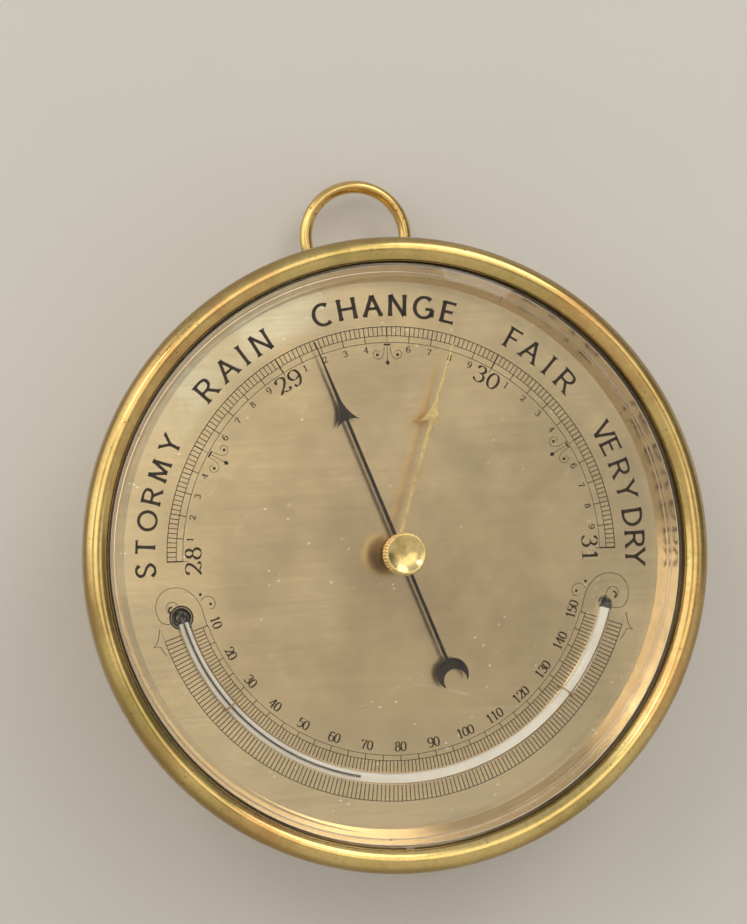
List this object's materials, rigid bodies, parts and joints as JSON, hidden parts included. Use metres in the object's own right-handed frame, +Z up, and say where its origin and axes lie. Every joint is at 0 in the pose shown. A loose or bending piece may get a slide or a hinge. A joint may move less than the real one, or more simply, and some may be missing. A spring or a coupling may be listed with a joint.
{
  "type": "marine aneroid barometer",
  "caption": "Round brass wall barometer with a silvered dial, a knob-turned set hand, a curved thermometer and a hanging ring.",
  "frame": {"origin": "centre of the flat back of the case, on the plane of the wall", "axes": "+Z up, -Y out of the dial towards the reader, +Y out of the back towards the wall, +X to the reader's right"},
  "size_m": [0.152, 0.0574, 0.1712],
  "materials": {
    "lacquered_brass": "polished, aged lacquer",
    "dull_brass": "turned, unpolished",
    "silvered_dial": "brushed and silvered, tarnished to champagne",
    "silvered_surround": "polished silvering",
    "clear_glass": "polished, bevelled edge",
    "white_glass": "milk-backed thermometer glass",
    "mercury": "liquid metal seen edge-on",
    "black_steel": "blackened, worn satin",
    "gilt_hand": "gilt, satin",
    "bright_steel": "machined",
    "blued_steel": "blued spring steel",
    "nickel_silver": "pressed, satin",
    "cast_iron": "blacked casting"
  },
  "bodies": {
    "case": {"case_drum": "lacquered_brass", "case_flange": "lacquered_brass", "bezel": "lacquered_brass", "glass": "clear_glass", "glass_retainer": "dull_brass", "dial_surround": "silvered_surround", "dial": "silvered_dial", "pendant_stud": "lacquered_brass", "pendant_nut": "dull_brass", "glass_bush": "dull_brass", "hairspring": "blued_steel", "hairspring_stud": "dull_brass", "thermometer_tube": "white_glass", "mercury_thread": "mercury", "tube_ties": "dull_brass", "movement_plate": "dull_brass", "plate_spacers": "dull_brass", "movement_screws": "bright_steel", "capsule_base": "nickel_silver", "capsule_lid": "nickel_silver", "spring_bridge": "cast_iron", "bridge_lugs": "dull_brass", "bridge_pivots": "bright_steel", "mainspring": "blued_steel", "spring_screws": "bright_steel", "rocker_posts": "dull_brass", "rocker_pivots": "bright_steel", "chain": "bright_steel", "bridge_pillars": "dull_brass", "arbor_bar": "dull_brass", "bar_screws": "bright_steel", "cock_posts": "dull_brass", "arbor_cock": "dull_brass", "cock_screws": "bright_steel"},
    "ring": {"hanging_ring": "lacquered_brass"},
    "set_group": {"set_knob": "gilt_hand", "set_stem": "dull_brass", "spring_washer": "bright_steel", "set_hand": "gilt_hand"},
    "pressure_group": {"pressure_hand": "black_steel", "hand_collet": "dull_brass", "hand_arbor": "bright_steel"},
    "rocker": {"rocking_shaft": "bright_steel"},
    "lever": {"main_lever": "bright_steel", "compensation_bar": "dull_brass", "lever_screws": "bright_steel", "drag_link": "bright_steel"},
    "capsule_head": {"capsule_pillar": "dull_brass", "knife_edge": "bright_steel"},
    "adjuster": {"adjusting_screw": "bright_steel"}
  },
  "joints": [
    {"name": "capsule_breathing", "type": "slide", "parent": "case", "child": "capsule_head", "axis": [0, 1, 0], "range_m": [-0.0002661, 0.0004213], "stiffness_N_per_m": 12000, "deforming": ["capsule_lid"]},
    {"name": "main_lever_tilt", "type": "hinge", "parent": "case", "child": "lever", "pos_m": [-0.038, -0.0224, 0], "axis": [0, 0, 1], "range_deg": [-0.4, 0.64], "deforming": ["mainspring"]},
    {"name": "rocking_shaft_turn", "type": "hinge", "parent": "case", "child": "rocker", "pos_m": [0.044, -0.022, 0], "axis": [0, 0, 1], "range_deg": [-14.25, 9], "deforming": ["chain"]},
    {"name": "pressure_hand_turn", "type": "hinge", "parent": "case", "child": "pressure_group", "pos_m": [0, -0.045, 0], "axis": [0, 1, 0], "range_deg": [-72, 114], "deforming": ["hairspring"]},
    {"name": "set_hand_turn", "type": "hinge", "parent": "case", "child": "set_group", "pos_m": [0, -0.053, 0], "axis": [0, 1, 0], "continuous": true},
    {"name": "ring_swing", "type": "hinge", "parent": "case", "child": "ring", "pos_m": [0, -0.007, 0.068], "axis": [1, 0, 0], "range_deg": [-120, 85]},
    {"name": "adjusting_screw_turn", "type": "hinge", "parent": "case", "child": "adjuster", "pos_m": [-0.045, -0.004, 0], "axis": [0, 1, 0], "range_deg": [-720, 720]}
  ],
  "couplings": [
    {"joint": "main_lever_tilt", "follows": "capsule_breathing", "rad_per_m": 26.316},
    {"joint": "rocking_shaft_turn", "follows": "capsule_breathing", "rad_per_m": -590.25},
    {"joint": "pressure_hand_turn", "follows": "capsule_breathing", "rad_per_m": 4722}
  ]
}
